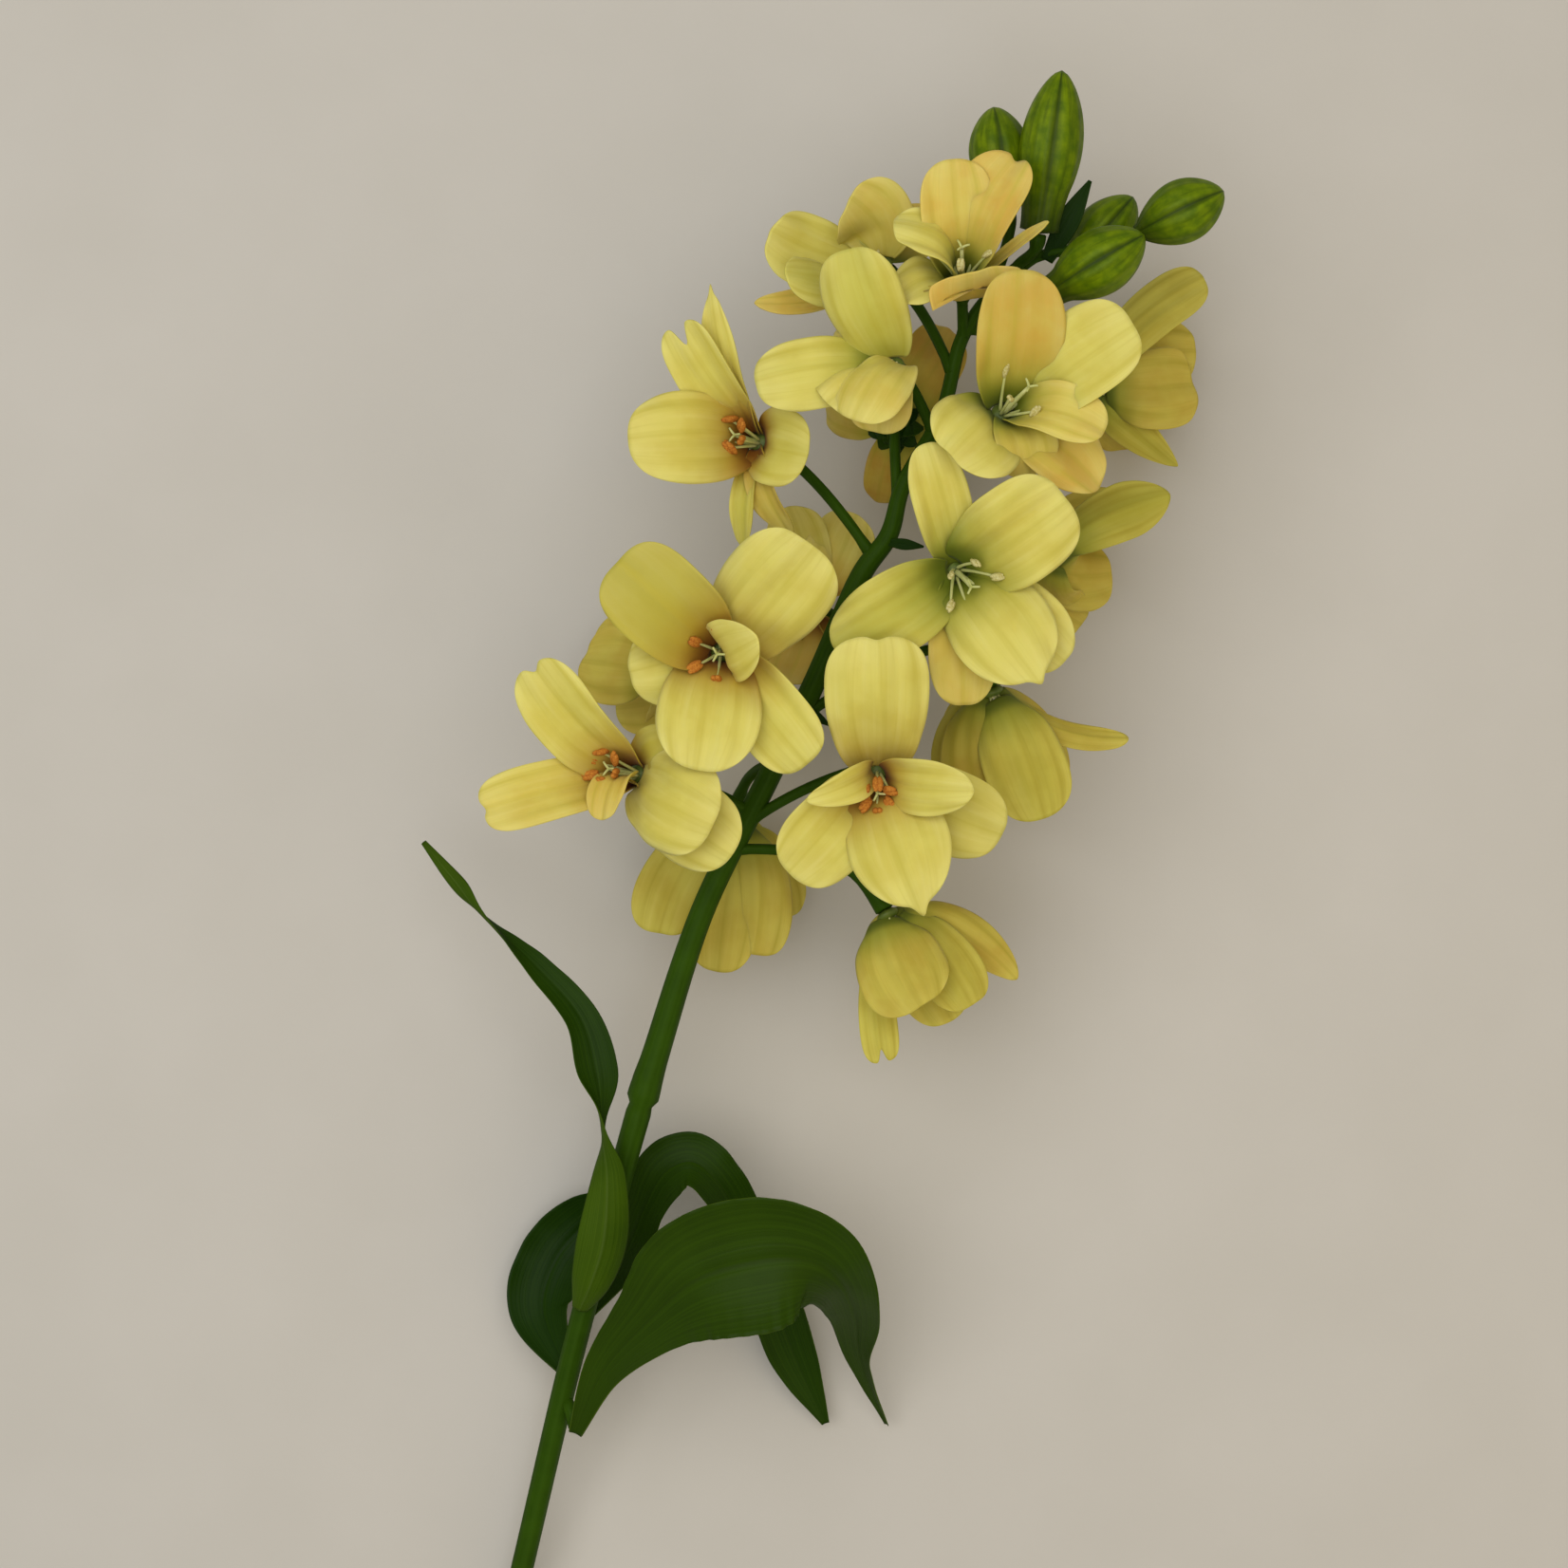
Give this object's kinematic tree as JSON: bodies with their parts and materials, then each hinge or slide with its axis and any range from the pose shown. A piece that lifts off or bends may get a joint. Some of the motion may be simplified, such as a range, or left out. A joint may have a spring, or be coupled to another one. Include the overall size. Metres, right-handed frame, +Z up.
{
  "type": "fritillaria cut flower stem",
  "caption": "Cut fritillaria stem lying down: leaning green stem with open pale yellow six-tepalled blooms, green buds at the tip and strap leaves low on the stem.",
  "frame": {"origin": "on the surface that the flower lies on, under the middle of the flower's box", "axes": "+Y along the stem from its cut end to the buds, +Z up from the surface, which is towards the viewer of the picture, +X to the right of the picture"},
  "size_m": [0.1858, 0.523, 0.1025],
  "materials": {
    "tepal": "soft matte, pale yellow with orange and green tints",
    "stamen": "matte cream filaments with tan anthers",
    "stem": "satin dark green, finely ribbed",
    "leaf": "satin dark green with parallel veins",
    "bud": "satin green, mottled, with dark grooves"
  },
  "bodies": {
    "root": {"stem": "stem", "bloom_A_petals": "tepal", "bloom_A_stamens": "stamen", "bloom_B_petals": "tepal", "bloom_B_stamens": "stamen", "bloom_C_petals": "tepal", "bloom_C_stamens": "stamen", "bloom_D_petals": "tepal", "bloom_D_stamens": "stamen", "bloom_E_petals": "tepal", "bloom_E_stamens": "stamen", "bloom_F_petals": "tepal", "bloom_F_stamens": "stamen", "bloom_G_petals": "tepal", "bloom_G_stamens": "stamen", "bloom_H_petals": "tepal", "bloom_H_stamens": "stamen", "bloom_I_petals": "tepal", "bloom_I_stamens": "stamen", "bloom_J_petals": "tepal", "bloom_J_stamens": "stamen", "bloom_K_petals": "tepal", "bloom_K_stamens": "stamen", "bloom_L_petals": "tepal", "bloom_L_stamens": "stamen", "bloom_M_petals": "tepal", "bloom_M_stamens": "stamen", "bloom_N_petals": "tepal", "bloom_N_stamens": "stamen", "bloom_O_petals": "tepal", "bloom_O_stamens": "stamen", "bloom_P_petals": "tepal", "bloom_P_stamens": "stamen", "bloom_Q_petals": "tepal", "bloom_Q_stamens": "stamen", "bud_1": "bud", "bud_2": "bud", "bud_3": "bud", "bud_4": "bud", "bud_5": "bud", "leaf_twisted": "leaf", "leaf_large": "leaf", "leaf_arched": "leaf", "leaf_back": "leaf"}
  },
  "joints": []
}
